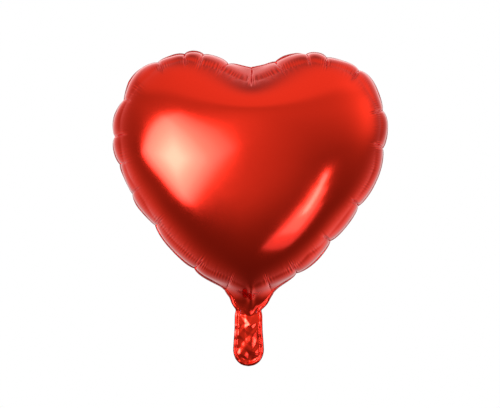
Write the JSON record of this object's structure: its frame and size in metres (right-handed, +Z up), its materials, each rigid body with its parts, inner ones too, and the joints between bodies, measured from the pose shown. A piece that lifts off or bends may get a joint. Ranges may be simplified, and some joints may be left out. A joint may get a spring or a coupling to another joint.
{
  "type": "foil balloon",
  "caption": "Inflated heart-shaped foil balloon: two foil panels sealed round the edge, a flat folding tail with an inlet hole, and a flat self-closing film valve.",
  "frame": {"origin": "centre of the neck, where the heart's point meets the tail and a ribbon is tied", "axes": "+Z up through the heart, -Y towards the front panel, +X to the right seen from the front"},
  "size_m": [0.38, 0.178, 0.433],
  "materials": {
    "red_foil": "satin metallic red",
    "sealed_edge": "embossed metallic red",
    "clear_film": "clear soft film"
  },
  "bodies": {
    "heart": {"heart_front_panel": "red_foil", "heart_back_panel": "red_foil", "heart_edge_seal": "sealed_edge"},
    "tail": {"tail_front_panel": "red_foil", "tail_back_panel": "red_foil", "tail_edge_seal": "sealed_edge", "valve_front_mouth": "clear_film", "valve_back_mouth": "clear_film"},
    "valve_front": {"valve_front_film": "clear_film"},
    "valve_back": {"valve_back_film": "clear_film"}
  },
  "joints": [
    {"name": "tail_fold", "type": "hinge", "parent": "heart", "child": "tail", "pos_m": [0, 0, 0], "axis": [1, 0, 0], "range_deg": [-110, 110]},
    {"name": "valve_front_open", "type": "hinge", "parent": "heart", "child": "valve_front", "pos_m": [0, -0.0002, 0.0025], "axis": [1, 0, 0], "range_deg": [0, 4], "stiffness_Nm_per_rad": 0.002},
    {"name": "valve_back_open", "type": "hinge", "parent": "heart", "child": "valve_back", "pos_m": [0, 0.0002, 0.0025], "axis": [1, 0, 0], "range_deg": [-4, 0], "stiffness_Nm_per_rad": 0.002}
  ],
  "couplings": [
    {"joint": "valve_back_open", "follows": "valve_front_open", "ratio": -1}
  ]
}
